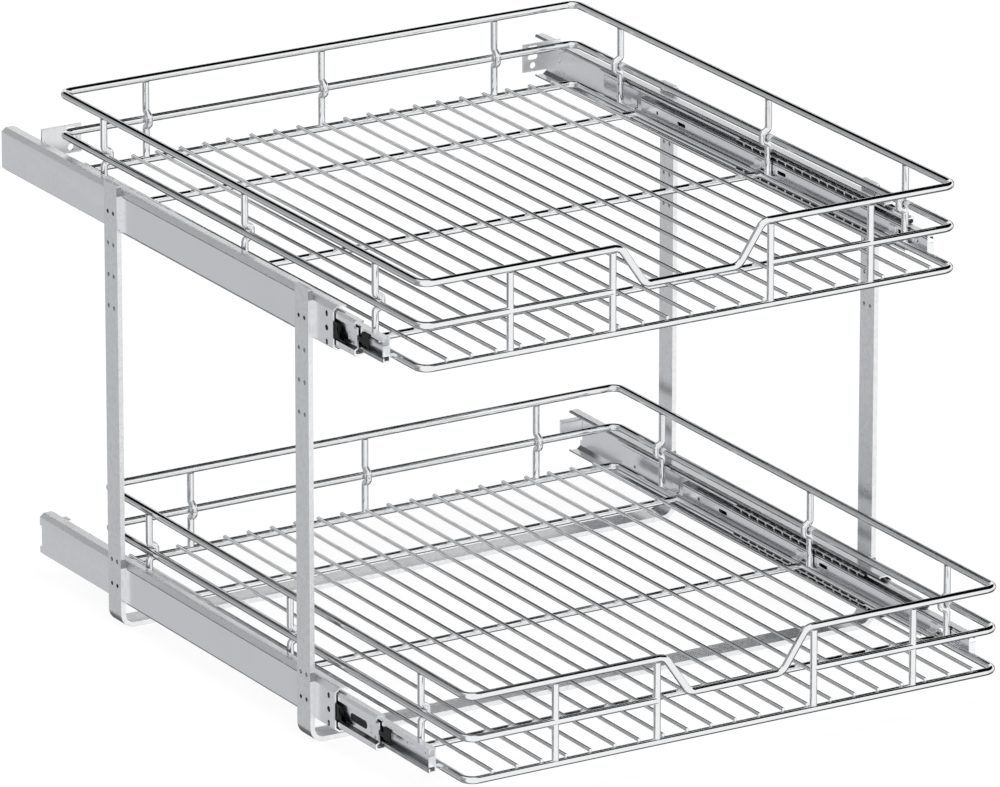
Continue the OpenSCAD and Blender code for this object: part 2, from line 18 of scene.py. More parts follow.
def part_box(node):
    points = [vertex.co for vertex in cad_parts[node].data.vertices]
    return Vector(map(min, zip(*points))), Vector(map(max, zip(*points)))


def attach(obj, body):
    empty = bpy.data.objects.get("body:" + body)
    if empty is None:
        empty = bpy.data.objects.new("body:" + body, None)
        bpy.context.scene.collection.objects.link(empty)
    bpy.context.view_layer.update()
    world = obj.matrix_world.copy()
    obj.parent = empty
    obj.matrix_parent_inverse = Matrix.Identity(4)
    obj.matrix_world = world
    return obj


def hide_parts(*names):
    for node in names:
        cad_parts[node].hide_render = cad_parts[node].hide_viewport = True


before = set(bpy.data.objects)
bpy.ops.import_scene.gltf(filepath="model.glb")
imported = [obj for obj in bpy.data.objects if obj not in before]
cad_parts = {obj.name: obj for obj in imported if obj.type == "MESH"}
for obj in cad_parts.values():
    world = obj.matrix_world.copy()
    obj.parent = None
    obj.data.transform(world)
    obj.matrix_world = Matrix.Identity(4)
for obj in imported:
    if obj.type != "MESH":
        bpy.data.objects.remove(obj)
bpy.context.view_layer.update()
LOG = logging.getLogger("basket_unit")
MM = 0.001
MERGE_GAP = 0.002 * MM
FLAT_TURN = math.radians(0.6)
UP = Vector((0, 0, 1))
WHITE = (1.0, 1.0, 1.0)

Piece = bpy.types.Object
Socket = bpy.types.NodeSocket
Sockets = bpy.types.bpy_prop_collection
Colour = tuple[float, float, float]
MaskRule = Callable[[Vector, Vector, Vector], float]
PointTest = Callable[[Vector], bool]


class Tier(Enum):
    """The two baskets, by the word that the frame's node names use."""

    UPPER = "upper"
    LOWER = "lower"

    @property
    def basket(self) -> str:
        """Name of the body that this tier's basket rides on."""
        return f"{self.value}_basket"

    @property
    def middle(self) -> str:
        """Name of the body that this tier's middle rails ride on."""
        return f"{self.value}_middle_rails"


class Side(Enum):
    """The left and right slides, with the sign of X on their side."""

    LEFT = -1
    RIGHT = 1

    @property
    def word(self) -> str:
        """The side as the frame's node names say it."""
        return self.name.lower()


# ---------------- shader graphs


@dataclass
class Graph:
    """A thin hand on one node tree: adds nodes, sets their sockets and links them."""

    tree: bpy.types.NodeTree

    def add(self, kind: str, inputs: dict | None = None, **settings: object) -> bpy.types.Node:
        """Adds one node.

        Args:
            kind: The node's type, such as "ShaderNodeMath".
            inputs: Plain values, or output sockets to link, by socket name or index.
            **settings: Attributes to set on the node itself.

        Returns:
            The new node.
        """
        node = self.tree.nodes.new(kind)
        for name, value in settings.items():
            setattr(node, name, value)
        for key, value in (inputs or {}).items():
            self.put(node.inputs[key], value)
        return node

    def put(self, socket: Socket, value: object) -> None:
        """Sets a socket to a plain value, or links an output socket to it.

        Args:
            socket: The input socket.
            value: A number, a tuple or an output socket.
        """
        if isinstance(value, Socket):
            self.tree.links.new(value, socket)
        else:
            socket.default_value = value

    def math(self, operation: str, *values: object) -> Socket:
        """Works out an operation on numbers or sockets, in order."""
        return self.add("ShaderNodeMath", dict(enumerate(values)), operation=operation).outputs[0]

    def place(self) -> Socket:
        """Reads the place on the piece, in the frame's axes."""
        return self.add("ShaderNodeTexCoord").outputs["Object"]

    def mask(self, name: str) -> Socket:
        """Reads one of the masks that are kept on the mesh."""
        return self.add("ShaderNodeAttribute", attribute_name=name).outputs["Fac"]

    def noise(self, place: Socket, scale: object, detail: float) -> Socket:
        """Gives the value of a noise with this many features per metre and this many octaves."""
        inputs = {"Vector": place, "Scale": scale, "Detail": detail}
        return self.add("ShaderNodeTexNoise", inputs).outputs["Fac"]

    def remap(self, value: object, low: float, high: float, start: float, end: float) -> Socket:
        """Maps the range from low to high smoothly onto the one from start to end."""
        inputs = {"Value": value, "From Min": low, "From Max": high, "To Min": start, "To Max": end}
        return self.add("ShaderNodeMapRange", inputs, interpolation_type="SMOOTHSTEP").outputs[0]

    def window(self, value: Socket, low: float, high: float, fade: float) -> Socket:
        """Gives 1 between low and high and 0 outside, with edges that fade either way."""
        rise = self.remap(value, low - fade, low + fade, 0.0, 1.0)
        return self.math("MULTIPLY", rise, self.remap(value, high - fade, high + fade, 1.0, 0.0))

    def blend(self, factor: object, first: object, second: object) -> Socket:
        """Mixes two colours.

        Args:
            factor: 0 gives the first, 1 the second.
            first: A colour or socket.
            second: A colour or socket.

        Returns:
            The colour socket.
        """
        node = self.add("ShaderNodeMix", data_type="RGBA")
        for name, value in (("Factor", factor), ("A", first), ("B", second)):
            wanted = "VALUE" if name == "Factor" else "RGBA"
            socket = next(s for s in node.inputs if s.name == name and s.type == wanted)
            self.put(socket, value)
        return next(s for s in node.outputs if s.type == "RGBA")

    def close(self, inputs: dict, relief: dict) -> None:
        """Ends a material's graph with a Principled shader over a fine relief.

        Args:
            inputs: The shader's inputs by name.
            relief: The inputs of its Bump node by name.
        """
        bump = self.add("ShaderNodeBump", relief)
        shader = self.add("ShaderNodeBsdfPrincipled", {**inputs, "Normal": bump.outputs["Normal"]})
        self.add("ShaderNodeOutputMaterial", {"Surface": shader.outputs["BSDF"]})


def empty_graph(owner: bpy.types.Material | bpy.types.World) -> Graph:
    """Turns on the nodes of a material or world and clears them.

    Args:
        owner: The material or world.

    Returns:
        Its graph.
    """
    owner.use_nodes = True
    owner.node_tree.nodes.clear()
    return Graph(owner.node_tree)


def tone(colour: Colour, factor: float = 1.0, lift: float = 0.0) -> tuple[float, ...]:
    """An opaque colour, times a factor and plus a lift, up to white."""
    return (*(min(1.0, factor * part + lift) for part in colour), 1.0)


def shared_group(
    name: str, inputs: dict[str, float], outputs: tuple[str, ...]
) -> tuple[Graph, dict, bpy.types.Node]:
    """Starts a node group with number inputs and outputs.

    Args:
        name: The group's name.
        inputs: Default value by socket name.
        outputs: Names of the outputs.

    Returns:
        The group's graph, its input sockets by name, and its output node.
    """
    tree = bpy.data.node_groups.new(name, "ShaderNodeTree")
    for label, value in inputs.items():
        socket = tree.interface.new_socket(label, in_out="INPUT", socket_type="NodeSocketFloat")
        socket.default_value = value
    for label in outputs:
        tree.interface.new_socket(label, in_out="OUTPUT", socket_type="NodeSocketFloat")
    graph = Graph(tree)
    entry = graph.add("NodeGroupInput")
    return graph, {label: entry.outputs[label] for label in inputs}, graph.add("NodeGroupOutput")


@dataclass(frozen=True)
class RolledGrain:
    """Fine streaks along Y over broad patches, as rolled and plated strip steel has."""

    name: str = "rolled_grain"
    scale: float = 900.0
    squeeze: Colour = (1.0, 0.03, 1.0)
    detail: float = 4.0
    patch_scale: float = 9.0
    patch_detail: float = 2.0
    patch_share: float = 0.5

    def group(self) -> bpy.types.NodeTree:
        """Builds the node group.

        Returns:
            A group with inputs Scale and Contrast, and outputs Streak, about one half, and Height.
        """
        inputs = {"Scale": self.scale, "Contrast": 1.0}
        graph, given, result = shared_group(self.name, inputs, ("Streak", "Height"))
        place = graph.place()
        squeezed = graph.add("ShaderNodeMapping", {"Vector": place, "Scale": self.squeeze}).outputs[0]
        fine = graph.noise(squeezed, given["Scale"], self.detail)
        broad = graph.math("SUBTRACT", graph.noise(place, self.patch_scale, self.patch_detail), 0.5)
        patches = graph.math("MULTIPLY", broad, self.patch_share)
        streak = graph.math("MULTIPLY", graph.math("SUBTRACT", fine, 0.5), given["Contrast"])
        graph.put(result.inputs["Streak"], graph.math("ADD", graph.math("ADD", streak, patches), 0.5))
        graph.put(result.inputs["Height"], fine)
        return graph.tree


@dataclass(frozen=True)
class PatchyMask:
    """A mask broken up by noise: one that is kept on the mesh, or else the noise alone."""

    name: str
    output: str
    scale: float
    detail: float
    reads: tuple[float, float]
    least: float = 0.0
    attribute: str = ""

    def group(self) -> bpy.types.NodeTree:
        """Builds the node group.

        Returns:
            A group with inputs Scale and Amount and the mask's output.
        """
        inputs = {"Scale": self.scale, "Amount": 1.0}
        graph, given, result = shared_group(self.name, inputs, (self.output,))
        patches = graph.noise(graph.place(), given["Scale"], self.detail)
        mask = graph.remap(patches, *self.reads, self.least, 1.0)
        if self.attribute:
            mask = graph.math("MULTIPLY", graph.mask(self.attribute), mask)
        graph.put(result.inputs[self.output], graph.math("MULTIPLY", mask, given["Amount"]))
        return graph.tree


GRAIN = RolledGrain()
HAZE = PatchyMask("handling_haze", "Haze", 40.0, 5.0, (0.48, 0.72))
WEAR = PatchyMask("edge_wear", "Wear", 260.0, 3.0, (0.35, 0.6), 0.4, "edge_mask")
# Painted shade: a mask kept on the mesh, broken up by noise, that darkens the metal in folds, recesses,
# gaps and along the races.
PAINTED_SHADE = PatchyMask("painted_shade_line", "Line", 120.0, 2.0, (0.3, 0.6), 0.75, "painted_shade_mask")


class Effects:
    """The shared node groups, each built once."""

    def __init__(self) -> None:
        """Builds the groups."""
        self.groups = {effect.name: effect.group() for effect in (GRAIN, HAZE, WEAR, PAINTED_SHADE)}

    def place(self, graph: Graph, effect: RolledGrain | PatchyMask, **values: float) -> Sockets:
        """Puts an effect into a material, with the material's own values, and gives its outputs."""
        return graph.add("ShaderNodeGroup", values, node_tree=self.groups[effect.name]).outputs


@dataclass(frozen=True)
class PlatedMetal:
    """A plated metal finish, from satin zinc to bright chrome."""

    name: str
    slot: str
    colour: Colour
    roughness: float
    worn_colour: Colour = (0.95, 0.95, 0.96)
    grain_scale: float = 900.0
    grain_contrast: float = 0.5
    bump: float = 0.02
    haze_scale: float = 30.0
    wear: float = 0.4
    haze_roughness: float = 0.03
    streak_roughness: float = 0.02
    satin_roughness: float = 0.34
    streak_tones: tuple[float, float] = (0.96, 1.04)
    # Colour factor of the painted shade.
    painted_shade_tone: float = 0.06
    relief_depth: float = 0.02 * MM

    def material(self, effects: Effects) -> bpy.types.Material:
        """Builds the finish.

        Args:
            effects: The shared node groups.

        Returns:
            The material.
        """
        material = bpy.data.materials.new(self.name)
        graph = empty_graph(material)
        grain = effects.place(graph, GRAIN, Scale=self.grain_scale, Contrast=self.grain_contrast)
        haze = effects.place(graph, HAZE, Scale=self.haze_scale)["Haze"]
        wear = effects.place(graph, WEAR, Amount=self.wear)["Wear"]
        # Painted shade: where its mask is set, the base colour darkens to the colour times the shade
        # factor.
        dark = effects.place(graph, PAINTED_SHADE)["Line"]
        streaks = [tone(self.colour, factor) for factor in self.streak_tones]
        base = graph.blend(grain["Streak"], *streaks)
        base = graph.blend(wear, base, tone(self.worn_colour))
        rough = graph.math("MULTIPLY", haze, self.haze_roughness)
        rough = graph.math("ADD", rough, graph.math("MULTIPLY", grain["Streak"], self.streak_roughness))
        satin = graph.math("MULTIPLY", graph.mask("satin_mask"), self.satin_roughness)
        rough = graph.math("ADD", rough, satin)
        graph.close(
            {
                "Base Color": graph.blend(dark, base, tone(self.colour, self.painted_shade_tone)),
                "Metallic": 1.0,
                "Roughness": graph.math("ADD", rough, self.roughness),
            },
            {"Height": grain["Height"], "Strength": self.bump, "Distance": self.relief_depth},
        )
        return material


@dataclass(frozen=True)
class MouldedPlastic:
    """A moulded plastic finish with a fine spark eroded skin."""

    name: str
    slot: str
    colour: Colour
    rubbed_colour: Colour
    roughness: float
    bump: float
    shine: float = 0.08
    skin_scale: float = 2600.0
    transmission: float = 0.0
    skin_detail: float = 2.0
    haze_scale: float = 120.0
    haze_amount: float = 0.6
    haze_roughness: float = 0.08
    haze_tone: float = 1.2
    haze_lift: float = 0.002
    wear: float = 0.5
    relief_depth: float = 0.03 * MM

    def material(self, effects: Effects) -> bpy.types.Material:
        """Builds the finish.

        Args:
            effects: The shared node groups.

        Returns:
            The material.
        """
        material = bpy.data.materials.new(self.name)
        graph = empty_graph(material)
        haze = effects.place(graph, HAZE, Scale=self.haze_scale, Amount=self.haze_amount)["Haze"]
        wear = effects.place(graph, WEAR, Amount=self.wear)["Wear"]
        base = graph.blend(haze, tone(self.colour), tone(self.colour, self.haze_tone, self.haze_lift))
        rough = graph.math("MULTIPLY", haze, self.haze_roughness)
        skin = graph.noise(graph.place(), self.skin_scale, self.skin_detail)
        graph.close(
            {
                "Base Color": graph.blend(wear, base, tone(self.rubbed_colour)),
                "Roughness": graph.math("ADD", rough, self.roughness),
                "Specular IOR Level": self.shine,
                "Transmission Weight": self.transmission,
            },
            {"Height": skin, "Strength": self.bump, "Distance": self.relief_depth},
        )
        return material


Finish = PlatedMetal | MouldedPlastic

CHROME = PlatedMetal(
    "chrome_wire", "chrome_wire", (0.79, 0.80, 0.81), 0.05, (0.93, 0.93, 0.94),
    grain_scale=500.0, grain_contrast=0.3, bump=0.01, haze_scale=55.0, wear=0.25,
)
RAIL_ZINC = PlatedMetal("rail_zinc", "rail_steel", (0.84, 0.85, 0.87), 0.24)
BRACKET_ZINC = PlatedMetal("bracket_zinc", "bracket_steel", (0.84, 0.85, 0.86), 0.28)
FRAME_ZINC = PlatedMetal(
    "frame_zinc", "frame_steel", (0.72, 0.73, 0.745), 0.26, (0.93, 0.93, 0.94),
    grain_scale=700.0, grain_contrast=0.6, bump=0.03, haze_scale=26.0, wear=0.45,
)
DARK_PLATE = PlatedMetal(
    "dark_plate", "dark_plate", (0.30, 0.30, 0.31), 0.34, (0.5, 0.5, 0.51),
    bump=0.03, wear=0.3, haze_roughness=0.05,
)
BALL_STEEL = PlatedMetal(
    "ball_steel", "cage_steel", (0.88, 0.88, 0.89), 0.5, (0.95, 0.95, 0.95),
    grain_scale=500.0, grain_contrast=0.3, bump=0.0, haze_scale=80.0, wear=0.0,
)
BLACK_PLASTIC = MouldedPlastic(
    "black_plastic", "black_plastic", (0.004, 0.004, 0.004), (0.03, 0.03, 0.03), 0.18, bump=0.1
)
CAGE_PLASTIC = MouldedPlastic(
    "cage_black", "cage_steel", (0.006, 0.006, 0.006), (0.02, 0.02, 0.02), 0.42, bump=0.2
)
MILKY_PLASTIC = MouldedPlastic(
    "milky_plastic", "clear_plastic", (0.80, 0.81, 0.82), (0.9, 0.9, 0.9), 0.2, bump=0.1,
    shine=0.5, skin_scale=1500.0, transmission=0.25,
)
FINISHES = (
    CHROME, RAIL_ZINC, FRAME_ZINC, BRACKET_ZINC, DARK_PLATE, BALL_STEEL,
    BLACK_PLASTIC, CAGE_PLASTIC, MILKY_PLASTIC,
)


# ---------------- modelling by hand


def take_up(*pieces: Piece) -> None:
    """Leaves only these pieces selected, the first one active.

    Args:
        *pieces: The pieces to work on.
    """
    bpy.ops.object.select_all(action="DESELECT")
    for piece in pieces:
        piece.select_set(True)
    bpy.context.view_layer.objects.active = pieces[0]


def edit(piece: Piece, action: str = "SELECT") -> None:
    """Opens a piece's mesh in edit mode.

    Args:
        piece: The piece.
        action: "SELECT" to start with all of it selected, or "DESELECT".
    """
    take_up(piece)
    bpy.ops.object.mode_set(mode="EDIT")
    bpy.ops.mesh.select_mode(type="FACE")
    bpy.ops.mesh.select_all(action=action)


def leave(piece: Piece, name: str = "") -> Piece:
    """Goes back to object mode and names the piece.

    Args:
        piece: The piece that was edited.
        name: Its name, if it gets a new one.

    Returns:
        The piece.
    """
    if bpy.context.mode != "OBJECT":
        bpy.ops.object.mode_set(mode="OBJECT")
    piece.name = name or piece.name
    piece.data.name = piece.name
    return piece


def smooth(piece: Piece, angle: float = 35.0) -> None:
    """Shades a piece smooth, with hard edges past an angle in degrees."""
    take_up(piece)
    bpy.ops.object.shade_smooth_by_angle(angle=math.radians(angle))


def finish_with(piece: Piece, kind: str, **settings: object) -> None:
    """Applies a modifier to a piece.

    Args:
        piece: The piece.
        kind: The modifier's type.
        **settings: The modifier's settings.
    """
    take_up(piece)
    modifier = piece.modifiers.new(kind.lower(), kind)
    for name, value in settings.items():
        setattr(modifier, name, value)
    bpy.ops.object.modifier_apply(modifier=modifier.name)


def round_edges(piece: Piece, width: float, angle: float = 30.0) -> None:
    """Rounds a piece's edges to a width, all those sharper than an angle in degrees."""
    limit = {"limit_method": "ANGLE", "angle_limit": math.radians(angle)}
    finish_with(piece, "BEVEL", width=width, segments=2, use_clamp_overlap=True, **limit)


def mark_edges(piece: Piece, angle: float) -> None:
    """Writes the point attribute edge_mask: 1 where faces turn, 0 on flats.

    Args:
        piece: The piece.
        angle: Faces that turn less than this many degrees count as flat.
    """
    mesh = piece.data
    limit = math.cos(math.radians(angle))
    first: dict[int, Vector] = {}
    mask = [0.0] * len(mesh.vertices)
    for face in mesh.polygons:
        for vertex in face.vertices:
            if vertex not in first:
                first[vertex] = face.normal.copy()
            elif first[vertex].dot(face.normal) < limit:
                mask[vertex] = 1.0
    mesh.attributes.new("edge_mask", "FLOAT", "POINT").data.foreach_set("value", mask)


def block(name: str, first: Vector, second: Vector, radius: float) -> Piece:
    """A block with rounded edges between two corners, drawn in from a cube.

    Args:
        name: The piece's name.
        first: One corner.
        second: The corner across from it.
        radius: Edge radius.

    Returns:
        The piece.
    """
    bpy.ops.object.select_all(action="DESELECT")
    bpy.ops.mesh.primitive_cube_add(size=1.0, location=(first + second) / 2)
    piece = bpy.context.object
    piece.scale = [abs(length) for length in second - first]
    bpy.ops.object.transform_apply()
    round_edges(leave(piece, name), radius)
    smooth(piece)
    return piece


def ball(name: str, centre: Vector, radius: float) -> Piece:
    """A small ball, blown up from a subdivided cube.

    Args:
        name: The piece's name.
        centre: Its centre.
        radius: Its radius.

    Returns:
        The piece.
    """
    bpy.ops.object.select_all(action="DESELECT")
    bpy.ops.mesh.primitive_cube_add(size=2 * radius, location=centre)
    piece = bpy.context.object
    edit(piece)
    bpy.ops.mesh.subdivide(number_cuts=2)
    bpy.ops.transform.tosphere(value=1.0)
    bpy.ops.object.mode_set(mode="OBJECT")
    bpy.ops.object.transform_apply()
    reach = max((vertex.co - centre).length for vertex in piece.data.vertices)
    to_size = Matrix.Scale(radius / reach, 4)
    piece.data.transform(Matrix.Translation(centre) @ to_size @ Matrix.Translation(-centre))
    return leave(piece, name)


def copies(piece: Piece, places: list[Matrix], name: str) -> Piece:
    """Sets a modelled piece down once for each place and joins the copies.

    Args:
        piece: The modelled piece, which gives way to its copies.
        places: Where each copy goes.
        name: Name of the joined piece.

    Returns:
        The joined piece.
    """
    made = []
    for index, place in enumerate(places):
        one = piece.copy()
        one.data = piece.data.copy()
        one.data.transform(place)
        if place.determinant() < 0:
            one.data.flip_normals()
        one.name = f"{name}_{index}"
        bpy.context.scene.collection.objects.link(one)
        made.append(one)
    bpy.data.objects.remove(piece)
    return joined(made, name)


def joined(pieces: list[Piece], name: str) -> Piece:
    """Joins pieces of one body into one object.

    Args:
        pieces: The pieces.
        name: Name of the result.

    Returns:
        The joined piece.
    """
    take_up(*pieces)
    bpy.ops.object.join()
    return leave(bpy.context.view_layer.objects.active, name)


def merged_copy(node: str, name: str) -> Piece:
    """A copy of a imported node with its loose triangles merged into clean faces.

    Args:
        node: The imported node.
        name: The new piece's name.

    Returns:
        The copy, at the origin like the node.
    """
    piece = bpy.data.objects.new(name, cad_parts[node].data.copy())
    bpy.context.scene.collection.objects.link(piece)
    piece.data.materials.clear()
    edit(piece)
    bpy.ops.mesh.remove_doubles(threshold=MERGE_GAP)
    bpy.ops.mesh.dissolve_limited(angle_limit=FLAT_TURN)
    return leave(piece, name)


def score(piece: Piece, point: Vector, normal: Vector) -> None:
    """Cuts a piece's faces along a plane, so that a line can be picked out on them.

    Args:
        piece: The piece.
        point: A point on the plane.
        normal: The plane's normal.
    """
    edit(piece)
    bpy.ops.mesh.bisect(plane_co=point, plane_no=normal)
    leave(piece)


def shade_faces(piece: Piece, rule: MaskRule, name: str) -> None:
    """Writes a mask of face corners: a painted shade mask where shade is painted on the metal, satin_mask
    where it is dull.

    Args:
        piece: The piece.
        rule: Gives the mask from a face's centre and normal and one of its corners.
        name: The mask's name.
    """
    mesh = piece.data
    mask = [0.0] * len(mesh.loops)
    for face in mesh.polygons:
        for loop in face.loop_indices:
            corner = mesh.vertices[mesh.loops[loop].vertex_index].co
            mask[loop] = rule(face.center, face.normal, corner)
    mesh.attributes.new(name, "FLOAT", "CORNER").data.foreach_set("value", mask)


def pick(piece: Piece, wanted: PointTest, kind: str = "EDGE") -> None:
    """Opens a piece in edit mode with the edges or faces selected whose corners all pass a test.

    Args:
        piece: The piece.
        wanted: The test on a point.
        kind: "EDGE" or "FACE".
    """
    edit(piece, "DESELECT")
    bpy.ops.mesh.select_mode(type=kind)
    bpy.ops.object.mode_set(mode="OBJECT")
    passed = [wanted(vertex.co) for vertex in piece.data.vertices]
    for part in piece.data.edges if kind == "EDGE" else piece.data.polygons:
        part.select = all(passed[index] for index in part.vertices)
    bpy.ops.object.mode_set(mode="EDIT")


@dataclass(frozen=True)
class WireBender:
    """Bends one round wire: a disc is pushed along each run and swung round each bend."""

    radius: float
    sides: int = 20
    quarter_steps: int = 8

    def start(self, at: Vector, along: Vector, closed: bool = False) -> Piece:
        """Lays down the first disc and opens it in edit mode.

        Args:
            at: Where the wire starts.
            along: Its first direction.
            closed: Whether the wire closes on itself, so that the disc stays open.

        Returns:
            The piece.
        """
        bpy.ops.object.select_all(action="DESELECT")
        bpy.ops.mesh.primitive_circle_add(
            vertices=self.sides,
            radius=self.radius,
            fill_type="NOTHING" if closed else "NGON",
            location=at,
            rotation=along.to_track_quat("Z", "Y").to_euler(),
        )
        piece = bpy.context.object
        bpy.ops.object.transform_apply()
        bpy.ops.object.mode_set(mode="EDIT")
        bpy.ops.mesh.select_mode(type="EDGE" if closed else "FACE")
        bpy.ops.mesh.select_all(action="SELECT")
        return piece

    def push(self, by: Vector) -> None:
        """Extrudes the selected end along a straight run."""
        bpy.ops.mesh.extrude_region_move(TRANSFORM_OT_translate={"value": by})

    def swing(self, centre: Vector, axis: Vector, angle: float) -> None:
        """Spins the selected end round a bend; the operator takes the angle the other way round."""
        steps = max(2, round(self.quarter_steps * angle / (math.pi / 2)))
        bpy.ops.mesh.spin(steps=steps, angle=-angle, center=centre, axis=axis)

    def bend(self, name: str, route: list[Vector], bends: list[float], closed: bool = False) -> Piece:
        """Bends a whole wire.

        Args:
            name: The piece's name.
            route: The wire's corners, and its two ends unless it is closed.
            bends: Bend radius at each corner.
            closed: Whether the wire closes on itself.

        Returns:
            The piece, shaded smooth.
        """
        corners = route if closed else route[1:-1]
        here = (route[-1] + route[0]) / 2 if closed else route[0]
        stops = [*corners, here if closed else route[-1]]
        piece = self.start(here, (stops[0] - here).normalized(), closed)
        for corner, following, radius in zip(corners, stops[1:], bends, strict=True):
            arriving = (corner - here).normalized()
            leaving = (following - corner).normalized()
            turn = arriving.angle(leaving)
            setback = radius * math.tan(turn / 2)
            entry = corner - arriving * setback
            axis = arriving.cross(leaving).normalized()
            self.push(entry - here)
            self.swing(entry + axis.cross(arriving) * radius, axis, turn)
            here = corner + leaving * setback
        self.push(stops[-1] - here)
        bpy.ops.mesh.select_all(action="SELECT")
        bpy.ops.mesh.remove_doubles(threshold=MERGE_GAP)
        bpy.ops.mesh.normals_make_consistent(inside=False)
        smooth(leave(piece, name))
        return piece

    def straight(self, name: str, start: Vector, end: Vector, chamfer: float = 0.0) -> Piece:
        """Cuts a straight wire.

        Args:
            name: The piece's name.
            start: One end.
            end: The other end.
            chamfer: How much of each end is rounded off.

        Returns:
            The piece.
        """
        piece = self.start(start, (end - start).normalized())
        self.push(end - start)
        bpy.ops.mesh.select_all(action="SELECT")
        bpy.ops.mesh.normals_make_consistent(inside=False)
        if chamfer > 0:
            bpy.ops.mesh.select_face_by_sides(number=self.sides, type="EQUAL", extend=False)
            bpy.ops.mesh.bevel(offset=chamfer, segments=2, affect="EDGES")
        smooth(leave(piece, name))
        return piece


# ---------------- finishes on pieces


class Finishes:
    """Holds one material for each finish and puts them on pieces."""

    def __init__(self) -> None:
        """Builds the shared effects and the materials."""
        effects = Effects()
        self.made = {finish: finish.material(effects) for finish in FINISHES}

    def stand_in(self, piece: Piece, finish: Finish, node: str, body: str, flat_turn: float = 12.0) -> None:
        """Gives a modelled piece its finish and puts it in a node's stead.

        Args:
            piece: The piece.
            finish: Its finish.
            node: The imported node.
            body: The body that it rides on.
            flat_turn: Faces that turn less than this many degrees have no worn edge between them.
        """
        mark_edges(piece, flat_turn)
        piece.data.materials.clear()
        piece.data.materials.append(self.made[finish])
        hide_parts(node)
        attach(piece, body)
        LOG.info("%s: %d faces", piece.name, len(piece.data.polygons))

    def pressing(self, piece: Piece, finish: Finish, node: str, body: str, edge: float) -> None:
        """Rounds the edges of a merged copy, keeps its flats flat and puts it in its node's stead.

        Args:
            piece: The merged copy.
            finish: Its finish.
            node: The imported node.
            body: The body that it rides on.
            edge: Width of the rolled edge.
        """
        round_edges(piece, edge)
        smooth(piece)
        finish_with(piece, "WEIGHTED_NORMAL", keep_sharp=True)
        self.stand_in(piece, finish, node, body)


# ---------------- the baskets


